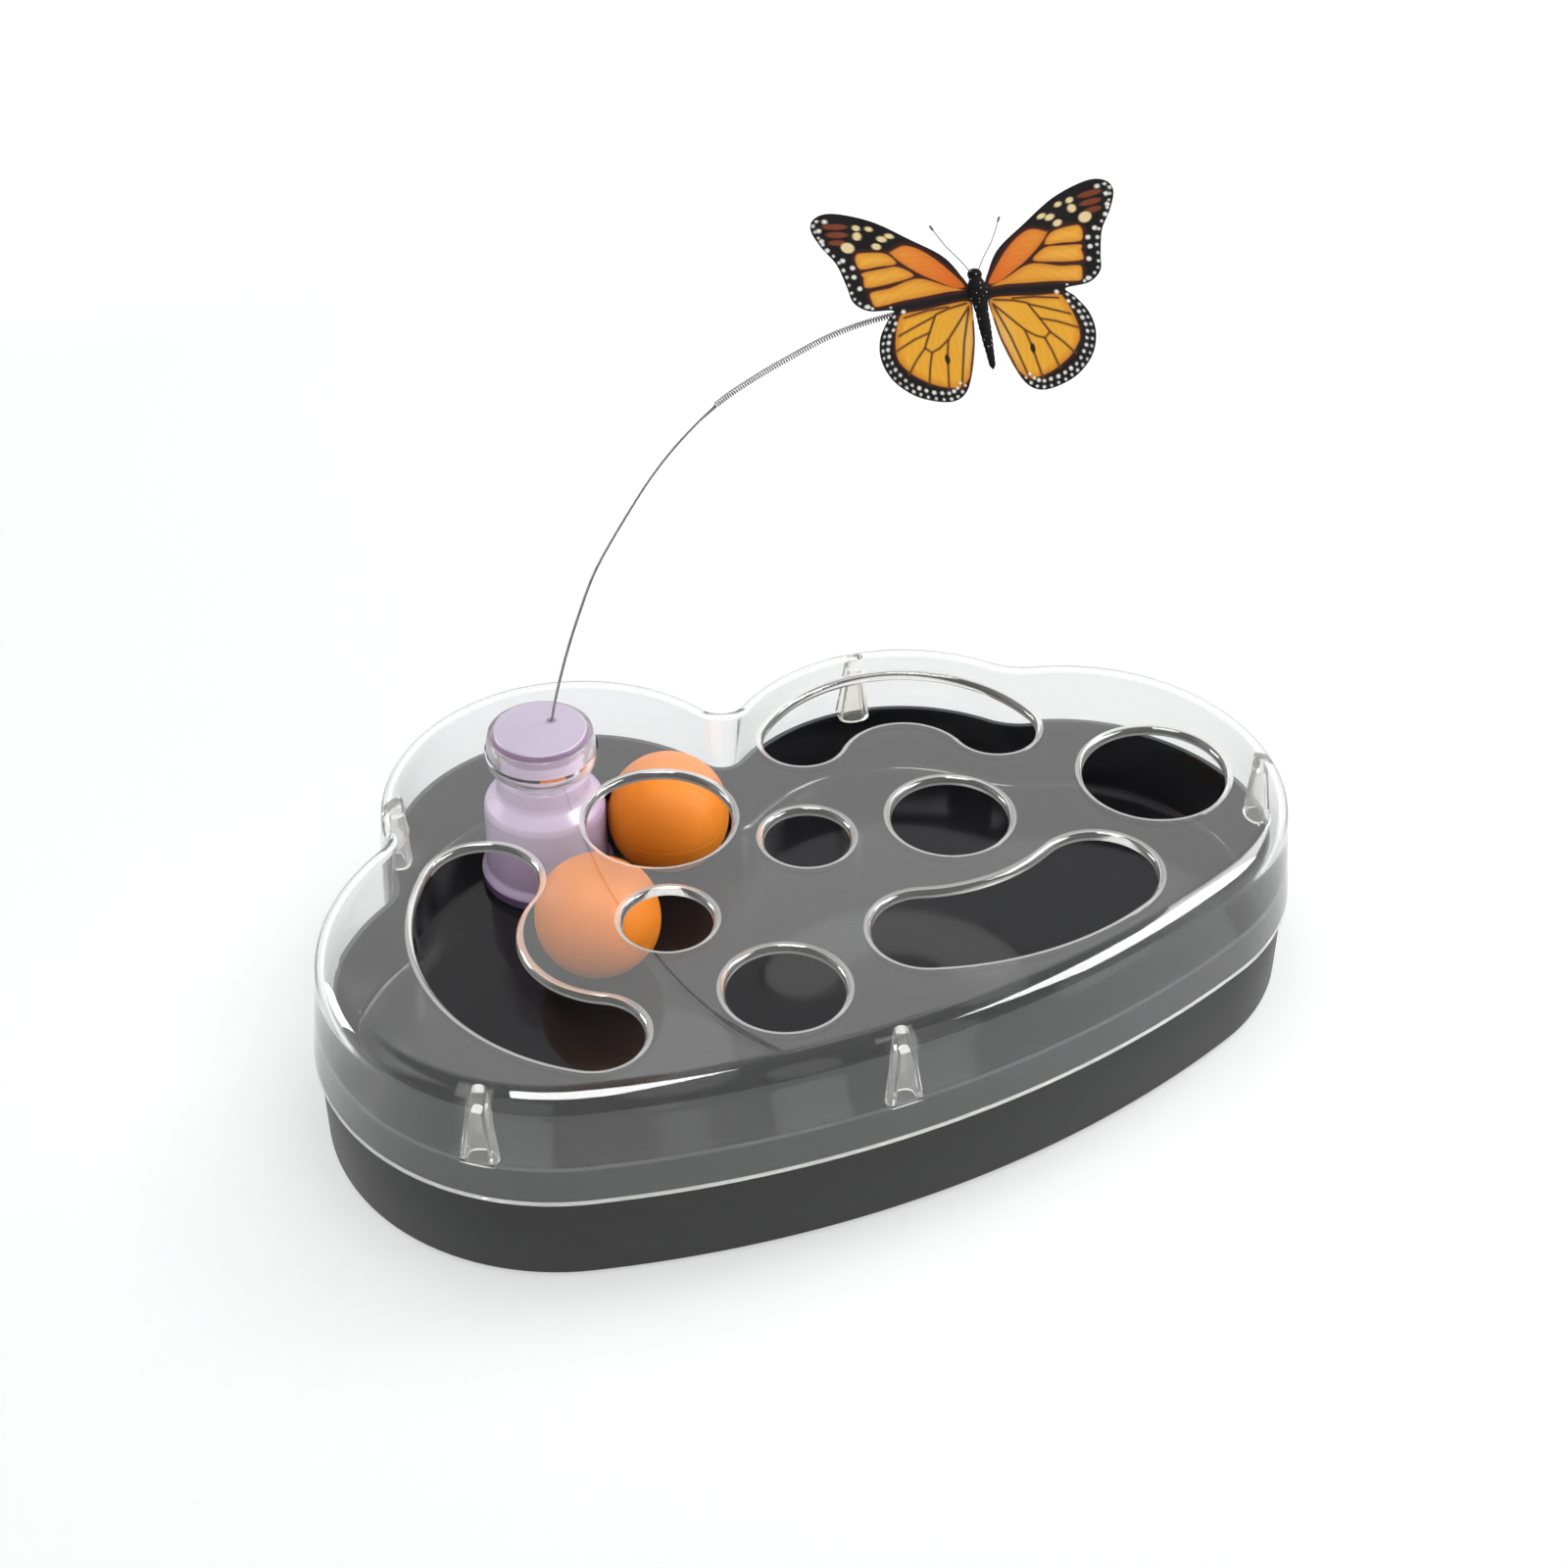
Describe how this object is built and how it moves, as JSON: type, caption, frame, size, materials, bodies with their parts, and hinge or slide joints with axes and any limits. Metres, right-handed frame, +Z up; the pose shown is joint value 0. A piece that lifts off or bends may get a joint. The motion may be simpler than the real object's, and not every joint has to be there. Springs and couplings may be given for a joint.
{
  "type": "electric butterfly cat toy",
  "caption": "Cloud-shaped cat toy: dark tray, clear lid with play holes, orange balls and a butterfly carried round on a bent wire by a lilac motor unit.",
  "frame": {"origin": "centre of the plan box on the ground", "axes": "+Z up, +X to the right along the flat front side, +Y to the back"},
  "size_m": [0.3217, 0.2181, 0.2569],
  "materials": {
    "clear_shell": "clear moulded plastic, glossy",
    "dark_shell": "near-black plastic, satin outside and glossy inside",
    "lilac_shell": "lilac plastic, satin",
    "lilac_cap": "pale lilac plastic, satin",
    "ball_orange": "orange plastic, satin",
    "rubber_black": "matt rubber",
    "steel": "bright steel",
    "white_plastic": "natural white moulding",
    "brass": "plain brass",
    "board_green": "green lacquered board",
    "cell_blue": "blue plastic sleeve",
    "lead_red": "soft red insulation",
    "black_plastic": "black plastic",
    "wing_film": "printed plastic film, orange with black veins and white dots"
  },
  "bodies": {
    "base": {"base_tray": "dark_shell", "rubber_foot_1": "rubber_black", "rubber_foot_2": "rubber_black", "rubber_foot_3": "rubber_black", "rubber_foot_4": "rubber_black", "rubber_foot_5": "rubber_black", "drive_housing": "lilac_shell", "housing_bottom": "lilac_shell", "tray_screw_front": "steel", "tray_screw_back": "steel", "motor_can": "steel", "motor_end_bell": "white_plastic", "battery_cell": "cell_blue", "circuit_board": "board_green", "control_chip": "black_plastic", "charging_port": "steel", "switch_body": "black_plastic", "motor_lead_red": "lead_red", "motor_lead_black": "black_plastic", "cell_lead_red": "lead_red", "cell_lead_black": "black_plastic", "gearbox_lower_plate": "white_plastic", "gearbox_upper_plate": "white_plastic", "gearbox_screw_1": "steel", "gearbox_screw_2": "steel", "idler_axle": "steel", "clear_collar": "clear_shell", "collar_screw_1": "steel", "collar_screw_2": "steel"},
    "lid": {"clear_lid": "clear_shell"},
    "rotor": {"output_gear": "white_plastic", "rotor_cap": "lilac_cap", "wire_sleeve": "brass", "wire_rod": "steel", "wire_ferrule": "steel", "wire_spring": "steel", "butterfly_body": "black_plastic"},
    "idler": {"idler_gear": "white_plastic"},
    "pinion": {"motor_pinion": "brass"},
    "button": {"power_button": "lilac_cap", "switch_plunger": "white_plastic"},
    "right_wing": {"wing_right": "wing_film"},
    "left_wing": {"wing_left": "wing_film"},
    "front_ball": {"ball_front_upper": "ball_orange", "ball_front_lower": "ball_orange"},
    "back_ball": {"ball_back_upper": "ball_orange", "ball_back_lower": "ball_orange"}
  },
  "joints": [
    {"name": "lid_lift", "type": "slide", "parent": "base", "child": "lid", "axis": [0, 0, 1], "range_m": [0, 0.045]},
    {"name": "rotor_spin", "type": "hinge", "parent": "base", "child": "rotor", "pos_m": [-0.0542, 0.068, 0.06], "axis": [0, 0, 1], "continuous": true},
    {"name": "idler_spin", "type": "hinge", "parent": "base", "child": "idler", "pos_m": [-0.05929, 0.07351, 0.044], "axis": [0, 0, 1], "continuous": true},
    {"name": "pinion_spin", "type": "hinge", "parent": "base", "child": "pinion", "pos_m": [-0.0636, 0.068, 0.043], "axis": [0, 0, 1], "continuous": true},
    {"name": "button_press", "type": "slide", "parent": "base", "child": "button", "axis": [0, -1, 0], "range_m": [0, 0.0007], "stiffness_N_per_m": 400, "springref_m": -0.0005},
    {"name": "wing_flap_right", "type": "hinge", "parent": "rotor", "child": "right_wing", "pos_m": [0.06765, 0.00875, 0.2309], "axis": [-0.1579, -0.6047, -0.7806], "range_deg": [-8, 40], "stiffness_Nm_per_rad": 0.003},
    {"name": "wing_flap_left", "type": "hinge", "parent": "rotor", "child": "left_wing", "pos_m": [0.06286, 0.01069, 0.23037], "axis": [0.1579, 0.6047, 0.7806], "range_deg": [-8, 40], "stiffness_Nm_per_rad": 0.003},
    {"name": "front_ball_travel", "type": "slide", "parent": "base", "child": "front_ball", "axis": [0.7071, -0.7071, 0], "range_m": [0, 0.05]},
    {"name": "back_ball_travel", "type": "slide", "parent": "base", "child": "back_ball", "axis": [0.45, -0.893, 0], "range_m": [0, 0.035]}
  ],
  "couplings": [
    {"joint": "idler_spin", "follows": "rotor_spin", "ratio": -2.75},
    {"joint": "pinion_spin", "follows": "rotor_spin", "ratio": 6.875}
  ]
}
